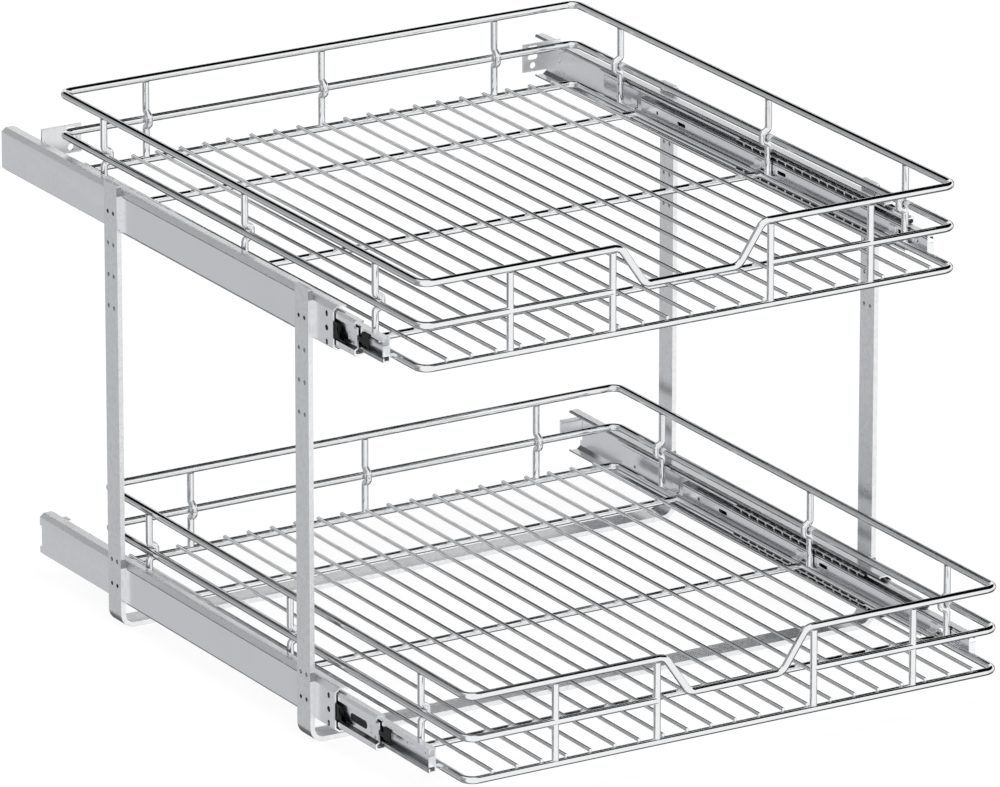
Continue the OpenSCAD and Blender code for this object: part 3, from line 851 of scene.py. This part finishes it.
@dataclass
class Basket:
    """One wire basket with the hooks that hold it on its inner rails."""

    tier: Tier
    finishes: Finishes
    floor_wire_count: int = 21
    corner_bend: float = 9 * MM
    dip_top_width: float = 125.4 * MM
    dip_low_width: float = 82 * MM
    dip_bend: float = 10 * MM
    dip_lift: float = 1.2 * MM
    post_bend: float = 2.9 * MM
    step_half: float = 3.2 * MM
    step_run: float = 3.3 * MM
    weld_depth: float = 0.15 * MM
    end_chamfer: float = 0.35 * MM
    hook_edge: float = 0.3 * MM
    handle_post: float = 69.2 * MM
    outer_post: float = 158 * MM
    side_posts: tuple[float, ...] = (68.5 * MM, 264 * MM, 483.5 * MM)
    cross_wire_places: tuple[float, ...] = (81 * MM, 274 * MM, 457.5 * MM)
    ring_sides: int = 28
    floor_sides: int = 16
    post_steps: int = 12
    flat_turn: float = 20.0

    def __post_init__(self) -> None:
        """Reads the basket's places from the frame."""
        low, high = self.box("bottom_ring")
        self.ring_radius = (high.z - low.z) / 2
        self.half_width = high.x - self.ring_radius
        self.front = low.y + self.ring_radius
        self.rear = high.y - self.ring_radius
        self.bottom = low.z + self.ring_radius
        self.middle = self.box("middle_ring")[1].z - self.ring_radius
        self.top = self.box("top_rim")[1].z - self.ring_radius
        cross_low, cross_high = self.box("cross_wires")
        self.post_radius = (cross_high.z - cross_low.z) / 2
        self.post_bender = WireBender(self.post_radius, quarter_steps=self.post_steps)

    def box(self, base: str) -> tuple[Vector, Vector]:
        """Lowest and highest corners of one of this basket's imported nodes."""
        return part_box(f"{base}_{self.tier.value}")

    def corners(self, height: float) -> list[Vector]:
        """A ring's corners before it is bent: left front, left rear, right rear and right front."""
        sides = ((-1, self.front), (-1, self.rear), (1, self.rear), (1, self.front))
        return [Vector((across * self.half_width, y, height)) for across, y in sides]

    def dress(self, piece: Piece, base: str) -> None:
        """Gives a wire piece its chrome and puts it in the stead of one of the basket's nodes."""
        node = f"{base}_{self.tier.value}"
        self.finishes.stand_in(piece, CHROME, node, self.tier.basket, self.flat_turn)

    def dress_all(self, wire: Piece, places: list[Matrix], base: str) -> None:
        """Sets a wire down at its places and dresses the copies as one of the basket's nodes."""
        self.dress(copies(wire, places, f"{self.tier.value}_{base}"), base)

    def rings(self) -> None:
        """Bends the rim with its handle dip, the middle ring, open at the handle, and the bottom ring."""
        high, low, dip = self.dip_top_width / 2, self.dip_low_width / 2, self.middle + self.dip_lift
        handle = ((high, self.top), (low, dip), (-low, dip), (-high, self.top))
        rim = self.corners(self.top) + [Vector((x, self.front, z)) for x, z in handle]
        ends = [Vector((x, self.front, self.middle)) for x in (self.handle_post, -self.handle_post)]
        middle = [ends[0], *reversed(self.corners(self.middle)), ends[1]]
        turns = [self.corner_bend] * 4
        bender = WireBender(self.ring_radius, self.ring_sides)
        for base, word, route, bends, closed in (
            ("top_rim", "rim", rim, turns + [self.dip_bend] * 4, True),
            ("middle_ring", "middle", middle, turns, False),
            ("bottom_ring", "bottom", self.corners(self.bottom), turns, True),
        ):
            self.dress(bender.bend(f"{self.tier.value}_{word}_wire", route, bends, closed), base)

    def floor(self) -> None:
        """Lays the thin floor wires over the rings' front and rear runs."""
        low, high = self.box("floor_wires")
        pitch = 2 * self.half_width / (self.floor_wire_count + 1)
        level = (high.z + low.z) / 2
        start, end = (Vector((-self.half_width + pitch, y, level)) for y in (low.y, high.y))
        bender = WireBender((high.z - low.z) / 2, self.floor_sides)
        wire = bender.straight("floor_wire", start, end, self.end_chamfer)
        places = [Matrix.Translation((i * pitch, 0, 0)) for i in range(self.floor_wire_count)]
        self.dress_all(wire, places, "floor_wires")

    def cross_wires(self) -> None:
        """Lays the three cross wires under the floor wires."""
        low, high = self.box("cross_wires")
        start, end = (Vector((x, 0, (high.z + low.z) / 2)) for x in (low.x, high.x))
        wire = self.post_bender.straight("cross_wire", start, end)
        places = [Matrix.Translation((0, self.front + y, 0)) for y in self.cross_wire_places]
        self.dress_all(wire, places, "cross_wires")

    def wall_posts(self) -> None:
        """Bends the side and rear posts, which step inwards round the middle ring."""
        low, high = self.box("wall_posts")
        step = self.ring_radius + self.post_radius - self.weld_depth
        route = [
            Vector((0, 0, low.z)),
            Vector((0, 0, self.middle - self.step_half - self.step_run)),
            Vector((0, -step, self.middle - self.step_half)),
            Vector((0, -step, self.middle + self.step_half)),
            Vector((0, 0, self.middle + self.step_half + self.step_run)),
            Vector((0, 0, high.z)),
        ]
        post = self.post_bender.bend("wall_post", route, [self.post_bend] * 4)
        offsets = (-self.outer_post, 0.0, self.outer_post)
        places = [Matrix.Translation((x, self.rear, 0)) for x in offsets]
        for side, turn in ((1, -math.pi / 2), (-1, math.pi / 2)):
            for y in self.side_posts:
                shift = Matrix.Translation((side * self.half_width, self.front + y, 0))
                places.append(shift @ Matrix.Rotation(turn, 4, "Z"))
        self.dress_all(post, places, "wall_posts")

    def front_posts(self) -> None:
        """Stands the four straight posts beside the handle."""
        start, end = (Vector((0, self.front, corner.z)) for corner in self.box("front_posts"))
        post = self.post_bender.straight("front_post", start, end)
        offsets = (-self.outer_post, -self.handle_post, self.handle_post, self.outer_post)
        places = [Matrix.Translation((x, 0, 0)) for x in offsets]
        self.dress_all(post, places, "front_posts")

    def hooks(self) -> None:
        """Rolls the edges of the hooks on the inner rails."""
        node = f"rail_hooks_{self.tier.value}"
        piece = merged_copy(node, f"{self.tier.value}_hooks")
        self.finishes.pressing(piece, RAIL_ZINC, node, self.tier.basket, self.hook_edge)

    def build(self) -> None:
        """Builds the whole basket."""
        self.rings()
        self.floor()
        self.cross_wires()
        self.wall_posts()
        self.front_posts()
        self.hooks()


# ---------------- slides


@dataclass(frozen=True)
class CageSizes:
    """One ball cage: inward from the leg and up from the slide's centre, in metres."""

    base: str
    shelf: float
    wall: float
    wall_rise: float
    row: float
    ball: float
    ball_inward: float
    sheet: float = 0.6 * MM
    sheet_edge: float = 0.1 * MM
    pitch: float = 12.1 * MM
    pad: float = 8.1 * MM
    pad_half: float = 1.05 * MM
    pad_edge: float = 0.12 * MM
    count: int = 15
    hard_turn: float = 60.0


CAGES = (
    CageSizes("outer_cage", 6.4 * MM, 9.6 * MM, 0.0, 14.9 * MM, 2.4 * MM, 9 * MM),
    CageSizes("inner_cage", 6.7 * MM, 11.6 * MM, 0.95 * MM, 10.9 * MM, 2.6 * MM, 10.9 * MM),
)


@dataclass
class Slide:
    """One three part ball bearing slide."""

    tier: Tier
    side: Side
    finishes: Finishes
    sheet_edge: float = 0.28 * MM
    lip_inward: float = 11.8 * MM
    half_height: float = 17.6 * MM
    lip_bend: float = 1.5 * MM
    lip_steps: int = 5
    lip_facing: float = 0.5
    # Painted shade on the outer rail's lips: its level at their edge and furthest in.
    lip_painted_shades: tuple[float, float] = (0.45, 0.82)
    lip_height: float = 3.4 * MM
    flat_facing: float = 0.9
    slope_facing: tuple[float, float] = (-0.85, -0.35)
    fold: tuple[float, float] = (13.7 * MM, 14.5 * MM)
    fold_end_gap: float = 2 * MM
    # Painted shade in the fold under the shoulder.
    fold_painted_shade: float = 0.8
    web_inward: float = 12.7 * MM
    race_lines: tuple[float, ...] = tuple(
        line * MM for line in (6.4, 6.8, 7.2, 7.7, 8.0, 8.6, 9.0)
    )
    race_grooves: tuple[float, ...] = (6.8 * MM, 8.6 * MM)
    race_depth: float = 0.3 * MM
    race_facing: float = 0.6
    web_bands: tuple[tuple[float, float], ...] = ((6.4 * MM, 7.2 * MM), (8 * MM, 9.6 * MM))
    # Painted shade in bands along the races on the inner rail's web.
    web_painted_shade: float = 0.85
    lip_bands: tuple[tuple[float, float], ...] = (
        (6.2 * MM, 7.2 * MM),
        (7.7 * MM, 8.6 * MM),
        (9 * MM, 9.6 * MM),
    )
    # Painted shade in bands on the inner rail's lower lip.
    lip_band_dark: float = 0.95
    # Heights of the middle rail's recess; its lower side gets painted shade.
    recess: tuple[float, float] = (6.2 * MM, 8.6 * MM)
    recess_facing: float = 0.2
    # Corners of the black plate that stands in for the shade behind the holes.
    shade_plate_low: tuple[float, float, float] = (1.3 * MM, -37.6 * MM, -13.4 * MM)
    shade_plate_high: tuple[float, float, float] = (1.75 * MM, -24 * MM, 13.4 * MM)
    shade_plate_edge: float = 0.1 * MM
    stop_nose: float = 5.4 * MM
    stop_steps: int = 8
    stop_rim: float = 1.1 * MM
    stop_edge: float = 0.3 * MM
    insert_rim: float = 0.8 * MM
    insert_edge: float = 0.15 * MM
    sunk_depth: float = 0.35 * MM
    small_edge: float = 0.2 * MM
    touch: float = 0.01 * MM

    def __post_init__(self) -> None:
        """Reads the slide's place from its outer rail, and the stretch between the legs."""
        low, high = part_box(self.node("outer_rail"))
        self.inward = -self.side.value
        self.leg_face = low.x if self.side is Side.LEFT else high.x
        self.level = (low.z + high.z) / 2
        self.fold_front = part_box("front_frame")[1].y + self.fold_end_gap
        self.fold_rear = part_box("rear_frame")[0].y - self.fold_end_gap

    def node(self, base: str) -> str:
        """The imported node's name for one part of this slide."""
        return f"{base}_{self.tier.value}_{self.side.word}"

    def at(self, inward: float, y: float, rise: float) -> Vector:
        """A point measured inwards from the leg and up from the slide's centre."""
        return Vector((self.leg_face + self.inward * inward, y, self.level + rise))

    def on_line(self, inward: float, rise: float) -> PointTest:
        """A test for points on a line along the slide and on its mirror image below the centre."""
        x = self.at(inward, 0.0, 0.0).x
        return lambda point: (
            abs(point.x - x) < self.touch and abs(abs(point.z - self.level) - rise) < self.touch
        )

    def score_along(self, piece: Piece, rises: list[float]) -> None:
        """Scores a rail along its length at these heights over the slide's centre."""
        for rise in rises:
            score(piece, self.at(0.0, 0.0, rise), UP)

    def outer_painted_shade(self, centre: Vector, normal: Vector, corner: Vector) -> float:
        """Painted shade on the outer rail: in its fold outside, on its lips, darker away from the rail's
        edge, and behind the holes.

        Args:
            centre: A face's centre.
            normal: The face's normal.
            corner: One of the face's corners.

        Returns:
            The painted shade, from 0 to 1.
        """
        facing = normal.x * self.inward
        rise = abs(centre.z - self.level)
        between_legs = self.fold_front < centre.y < self.fold_rear
        if facing < -self.flat_facing and self.fold[0] < rise < self.fold[1] and between_legs:
            return self.fold_painted_shade
        if facing > self.lip_facing and abs(centre.x - self.leg_face) > self.lip_inward - self.lip_bend:
            light, dark = self.lip_painted_shades
            share = (self.half_height - abs(corner.z - self.level)) / self.lip_height
            return light + (dark - light) * min(1.0, share)
        # Painted shade on the inner face behind the holes, where only shade shows through them.
        behind = facing > self.flat_facing and centre.y < self.fold_front and rise < self.fold[0]
        return 1.0 if behind else 0.0

    def middle_painted_shade(self, centre: Vector, normal: Vector, _corner: Vector) -> float:
        """Painted shade on the middle rail: 1 on its recess's lower side, seen from the leg."""
        outside = normal.x * self.inward < -self.recess_facing
        return 1.0 if outside and self.recess[0] < self.level - centre.z < self.recess[1] else 0.0

    def inner_painted_shade(self, centre: Vector, normal: Vector, _corner: Vector) -> float:
        """Painted shade on the inner rail: in bands along the races on its web and on its lower lip.

        Args:
            centre: A face's centre.
            normal: The face's normal.
            _corner: Not needed here.

        Returns:
            The painted shade, from 0 to 1.
        """
        facing = normal.x * self.inward
        rise = centre.z - self.level
        if facing > self.race_facing and any(low < abs(rise) < high for low, high in self.web_bands):
            return self.web_painted_shade
        if facing < -self.race_facing and any(low < -rise < high for low, high in self.lip_bands):
            return self.lip_band_dark
        return 0.0

    def slope_mask(self, _centre: Vector, normal: Vector, _corner: Vector) -> float:
        """How dull a rail is: its sloped shoulders are duller than its flats."""
        low, high = self.slope_facing
        return 1.0 if low < normal.x * self.inward < high else 0.0

    def outer_rail(self) -> None:
        """Rounds the outer rail's bends over the lips, scores the fold under its shoulder and paints shade
        in it, on its lips and behind its holes.
        """
        node = self.node("outer_rail")
        piece = merged_copy(node, f"{node}_steel")
        self.score_along(piece, [sign * rise for rise in self.fold for sign in (-1, 1)])
        for y in (self.fold_front, self.fold_rear):
            score(piece, self.at(0.0, y, 0.0), Vector((0, 1, 0)))
        pick(piece, self.on_line(self.lip_inward, self.half_height))
        bpy.ops.mesh.bevel(offset=self.lip_bend, segments=self.lip_steps, affect="EDGES")
        leave(piece)
        self.finishes.pressing(piece, RAIL_ZINC, node, "frame", self.sheet_edge)
        # Painted shade: in the fold, on the lips and behind the holes.
        shade_faces(piece, self.outer_painted_shade, "painted_shade_mask")
        shade_faces(piece, self.slope_mask, "satin_mask")

    def clip(self) -> None:
        """Sets a black plate behind the outer rail's column of holes: a dark sheet that stands in for the
        shade seen through them.
        """
        node = self.node("outer_rail")
        corners = self.at(*self.shade_plate_low), self.at(*self.shade_plate_high)
        plate = block(f"{node}_clip", *corners, self.shade_plate_edge)
        self.finishes.stand_in(plate, BLACK_PLASTIC, node, "frame")

    def middle_rail(self) -> None:
        """Rolls the middle rail's edges and paints shade on the lower side of its recess."""
        node = self.node("middle_rail")
        piece = merged_copy(node, f"{node}_steel")
        self.score_along(piece, [-self.recess[0]])
        self.finishes.pressing(piece, RAIL_ZINC, node, self.tier.middle, self.sheet_edge)
        # Painted shade on the lower side of the recess.
        shade_faces(piece, self.middle_painted_shade, "painted_shade_mask")
        shade_faces(piece, self.slope_mask, "satin_mask")

    def inner_rail(self) -> None:
        """Rolls grooves along the inner rail's ball races, paints shade in bands along them, and rolls its
        edges.
        """
        node = self.node("inner_rail")
        piece = merged_copy(node, f"{node}_steel")
        self.score_along(piece, [sign * rise for rise in self.race_lines for sign in (-1, 1)])
        for rise in self.race_grooves:
            pick(piece, self.on_line(self.web_inward, rise))
            bpy.ops.transform.translate(value=(-self.inward * self.race_depth, 0, 0))
            leave(piece)
        self.finishes.pressing(piece, RAIL_ZINC, node, self.tier.basket, self.sheet_edge)
        # Painted shade in bands along the races.
        shade_faces(piece, self.inner_painted_shade, "painted_shade_mask")

    def sink_face(self, piece: Piece, rim: float) -> None:
        """Insets a piece's outermost face and sinks it, which leaves a raised rim.

        Args:
            piece: The piece.
            rim: The rim's width.
        """
        outer = min(self.inward * vertex.co.x for vertex in piece.data.vertices)
        pick(piece, lambda point: self.inward * point.x - outer < self.touch, "FACE")
        bpy.ops.mesh.inset(thickness=rim, depth=0.0)
        bpy.ops.transform.translate(value=(self.inward * self.sunk_depth, 0, 0))
        leave(piece)

    def stop(self) -> None:
        """Rounds the nose of the black stop at the outer rail's front end and sinks its side."""
        node = self.node("front_bumper")
        piece = merged_copy(node, f"{node}_part")
        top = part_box(node)[1].z
        front = min(v.co.y for v in piece.data.vertices if top - v.co.z < self.touch)
        pick(piece, lambda point: top - point.z < self.touch and point.y - front < self.touch)
        bpy.ops.mesh.bevel(offset=self.stop_nose, segments=self.stop_steps, affect="EDGES")
        self.sink_face(leave(piece), self.stop_rim)
        self.finishes.pressing(piece, BLACK_PLASTIC, node, "frame", self.stop_edge)

    def small_parts(self) -> None:
        """Sinks the slot insert's outer face, and rounds it, the middle rail's bumper and its lever."""
        for base, finish, rim, edge in (
            ("slot_insert", BLACK_PLASTIC, self.insert_rim, self.insert_edge),
            ("middle_bumper", BLACK_PLASTIC, 0.0, self.small_edge),
            ("release_lever", MILKY_PLASTIC, 0.0, self.small_edge),
        ):
            node = self.node(base)
            piece = merged_copy(node, f"{node}_part")
            if rim > 0:
                self.sink_face(piece, rim)
            self.finishes.pressing(piece, finish, node, self.tier.middle, edge)

    def cage(self, sizes: CageSizes) -> None:
        """Builds one cage: black strips with pads above and below, and the balls between the pads.

        Args:
            sizes: The cage's sizes.
        """
        node = self.node(sizes.base)
        front, rear = (corner.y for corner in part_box(node))
        thin, half, row = sizes.sheet / 2, sizes.ball / 2, sizes.row
        pocket = sizes.ball_inward - half
        wall_back = sizes.wall + sizes.sheet
        wall_top = row + sizes.pad_half
        first = (front + rear) / 2 - (sizes.count - 1) / 2 * sizes.pitch
        gap = first - sizes.pitch / 2
        shelf = block(
            "cage_shelf",
            self.at(sizes.shelf, front, row - thin),
            self.at(pocket + thin, rear, row + thin),
            sizes.sheet_edge,
        )
        rim = block(
            "cage_rim",
            self.at(sizes.wall, front, wall_top - thin),
            self.at(wall_back, rear, wall_top + sizes.wall_rise),
            sizes.sheet_edge,
        )
        pad = block(
            "cage_pad",
            self.at(pocket, gap - sizes.pad / 2, row - sizes.pad_half),
            self.at(wall_back, gap + sizes.pad / 2, wall_top),
            sizes.pad_edge,
        )
        one = ball("cage_ball", self.at(sizes.ball_inward, first, row), half)
        to_centre, from_centre = (Matrix.Translation((0, 0, z)) for z in (-self.level, self.level))
        halves = [Matrix.Identity(4), from_centre @ Matrix.Scale(-1, 4, UP) @ to_centre]
        steps = [Matrix.Translation((0, i * sizes.pitch, 0)) for i in range(sizes.count + 1)]
        pads = copies(pad, [flip @ step for flip in halves for step in steps], "cage_pads")
        balls = copies(one, [flip @ step for flip in halves for step in steps[:-1]], "cage_balls")
        strip = joined([copies(shelf, halves, "cage_shelves"), pads], f"{node}_strip")
        bright = joined([copies(rim, halves, "cage_rims"), balls], f"{node}_balls")
        smooth(bright, sizes.hard_turn)
        for piece, finish in ((strip, CAGE_PLASTIC), (bright, BALL_STEEL)):
            self.finishes.stand_in(piece, finish, node, f"{self.tier.value}_{sizes.base}s")

    def build(self) -> None:
        """Builds the whole slide."""
        self.outer_rail()
        # A black plate that stands in for the shade behind the holes.
        self.clip()
        self.middle_rail()
        self.inner_rail()
        self.stop()
        self.small_parts()
        for sizes in CAGES:
            self.cage(sizes)


# ---------------- frames and rear fittings


@dataclass
class CabinetFrames:
    """The two flat bar frames with their seat plates, and the fittings behind the rails."""

    finishes: Finishes
    bar_edge: float = 0.6 * MM
    sheet_edge: float = 0.3 * MM
    tab_edge: float = 0.12 * MM

    def build(self) -> None:
        """Rolls the edges of every fixed piece."""
        pieces = [
            ("front_frame", self.bar_edge, FRAME_ZINC),
            ("rear_frame", self.bar_edge, FRAME_ZINC),
            ("seat_tabs", self.tab_edge, DARK_PLATE),
        ]
        for base in ("rear_bracket", "rear_clip"):
            for side in Side:
                pieces.append((f"{base}_{side.word}", self.sheet_edge, BRACKET_ZINC))
        for node, edge, finish in pieces:
            self.finishes.pressing(merged_copy(node, f"{node}_steel"), finish, node, "frame", edge)


# ---------------- studio


@dataclass(frozen=True)
class Flag:
    """One panel of the surroundings: a range of bearings from +Y towards +X, and of heights."""

    west: float
    east: float
    low: float
    high: float
    side_fade: float
    edge_fade: float
    shade: float

    def cover(self, graph: Graph, bearing: Socket, height: Socket) -> Socket:
        """Gives 1 where a direction, in degrees, meets the panel, and 0 off it, with soft edges."""
        across = graph.window(bearing, self.west, self.east, self.side_fade)
        return graph.math("MULTIPLY", across, graph.window(height, self.low, self.high, self.edge_fade))


# Later flags cover earlier ones. The last gives the wires their black lines.
FLAGS = (
    Flag(5.0, 115.0, -40.0, -9.0, 10.0, 5.0, 0.55),
    Flag(18.0, 64.0, -40.0, 8.5, 4.0, 3.0, 0.02),
    Flag(-100.0, 6.0, -90.0, 48.0, 8.0, 6.0, 0.40),
    Flag(-100.0, 6.0, -32.0, -9.0, 8.0, 4.0, 0.60),
    Flag(-98.0, -54.0, -34.0, -6.0, 5.0, 4.0, 0.26),
    Flag(-25.0, 128.0, -92.0, -28.0, 8.0, 3.0, 0.12),
    Flag(-21.0, 138.0, 22.5, 75.0, 2.0, 1.2, 0.004),
)


@dataclass
class Studio:
    """The white studio: camera, floor, surroundings and lamp."""

    azimuth: float = math.radians(30.8638)
    elevation: float = math.radians(18.8118)
    distance: float = 8202.37 * MM
    across: float = 55.267 * MM
    upward: float = 271.364 * MM
    frame_offset: Vector = Vector((-233.3 * MM, -144.3 * MM, 31 * MM))
    focal_pixels: float = 11005.8
    image_width: float = 1000.0
    sensor_width: float = 36.0
    centre_shift: tuple[float, float] = (0.0025, -0.00274)
    view_depth: float = 100.0
    floor_half: float = 6.0
    floor_drop: float = 0.05 * MM
    floor_paint: float = 0.86
    floor_shadow_paint: float = 0.25
    floor_glow: float = 0.84
    front_light: float = 1.08
    cool_tint: Colour = (0.985, 1.0, 1.015)
    lamp_place: Vector = Vector((0.5, -1.0, 2.6))
    lamp_aim: Vector = Vector((0.0, 0.15, 0.2))
    lamp_size: tuple[float, float] = (2.4, 1.6)
    lamp_power: float = 22.0

    def camera(self) -> None:
        """Sets the camera at the photograph's viewing angle."""
        sine, cosine = math.sin(self.azimuth), math.cos(self.azimuth)
        right = Vector((cosine, -sine, 0.0))
        flat = math.cos(self.elevation)
        back = Vector((-sine * flat, -cosine * flat, math.sin(self.elevation)))
        up = back.cross(right)
        place = right * self.across + up * self.upward + back * self.distance + self.frame_offset
        lens = bpy.data.cameras.new("studio_camera")
        lens.sensor_width = self.sensor_width
        lens.lens = self.sensor_width * self.focal_pixels / self.image_width
        lens.shift_x, lens.shift_y = self.centre_shift
        lens.clip_end = self.view_depth
        camera = bpy.data.objects.new("studio_camera", lens)
        turn = Matrix((right, up, back)).transposed().to_4x4()
        camera.matrix_world = Matrix.Translation(place) @ turn
        bpy.context.scene.collection.objects.link(camera)
        bpy.context.scene.camera = camera

    def floor(self) -> None:
        """Lays the white floor, which the camera sees as white apart from the soft shadow."""
        bpy.ops.object.select_all(action="DESELECT")
        bpy.ops.mesh.primitive_grid_add(x_subdivisions=4, y_subdivisions=4, size=2 * self.floor_half)
        floor = leave(bpy.context.object, "studio_floor")
        floor.location.z = -self.floor_drop
        material = bpy.data.materials.new("studio_white")
        graph = empty_graph(material)
        paint, faint = (
            graph.add("ShaderNodeBsdfDiffuse", {"Color": tone(WHITE, shade)}).outputs[0]
            for shade in (self.floor_paint, self.floor_shadow_paint)
        )
        glow = graph.add("ShaderNodeEmission", {"Color": tone(WHITE), "Strength": self.floor_glow})
        seen = graph.add("ShaderNodeAddShader", {0: faint, 1: glow.outputs[0]}).outputs[0]
        ray = graph.add("ShaderNodeLightPath").outputs["Is Camera Ray"]
        mix = graph.add("ShaderNodeMixShader", {0: ray, 1: paint, 2: seen})
        graph.add("ShaderNodeOutputMaterial", {"Surface": mix.outputs[0]})
        floor.data.materials.append(material)
        floor.visible_glossy = False

    def surroundings(self) -> None:
        """Paints the studio that the metal mirrors: white, with grey and dark flags behind."""
        world = bpy.data.worlds.new("white_studio")
        bpy.context.scene.world = world
        graph = empty_graph(world)
        direction = graph.add("ShaderNodeTexCoord").outputs["Generated"]
        parts = graph.add("ShaderNodeSeparateXYZ", {"Vector": direction}).outputs
        bearing = graph.math("MULTIPLY", graph.math("ARCTAN2", parts["X"], parts["Y"]), math.degrees(1.0))
        height = graph.math("MULTIPLY", graph.math("ARCSINE", parts["Z"]), math.degrees(1.0))
        colour: object = (self.front_light,) * 3 + (1.0,)
        for flag in FLAGS:
            cover = flag.cover(graph, bearing, height)
            colour = graph.blend(cover, colour, tone(self.cool_tint, flag.shade))
        ray = graph.add("ShaderNodeLightPath").outputs["Is Camera Ray"]
        colour = graph.blend(ray, colour, tone(WHITE))
        background = graph.add("ShaderNodeBackground", {"Color": colour, "Strength": 1.0})
        graph.add("ShaderNodeOutputWorld", {"Surface": background.outputs[0]})

    def lamp(self) -> None:
        """Hangs one soft lamp over the front, for the shadows and the upward faces."""
        light = bpy.data.lights.new("soft_top", "AREA")
        light.shape = "RECTANGLE"
        light.size, light.size_y = self.lamp_size
        light.energy = self.lamp_power
        lamp = bpy.data.objects.new("soft_top", light)
        lamp.location = self.lamp_place
        lamp.visible_glossy = False
        lamp.rotation_euler = (self.lamp_aim - self.lamp_place).to_track_quat("-Z", "Y").to_euler()
        bpy.context.scene.collection.objects.link(lamp)

    def build(self) -> None:
        """Sets up the studio."""
        self.camera()
        self.floor()
        self.surroundings()
        self.lamp()
        bpy.context.scene.view_settings.view_transform = "Standard"


def main() -> None:
    logging.basicConfig(level=logging.INFO, format="%(name)s: %(message)s")
    finishes = Finishes()
    Studio().build()
    CabinetFrames(finishes).build()
    for tier in Tier:
        Basket(tier, finishes).build()
        for side in Side:
            Slide(tier, side, finishes).build()
    bpy.ops.object.select_all(action="DESELECT")


if __name__ == "__main__":
    main()
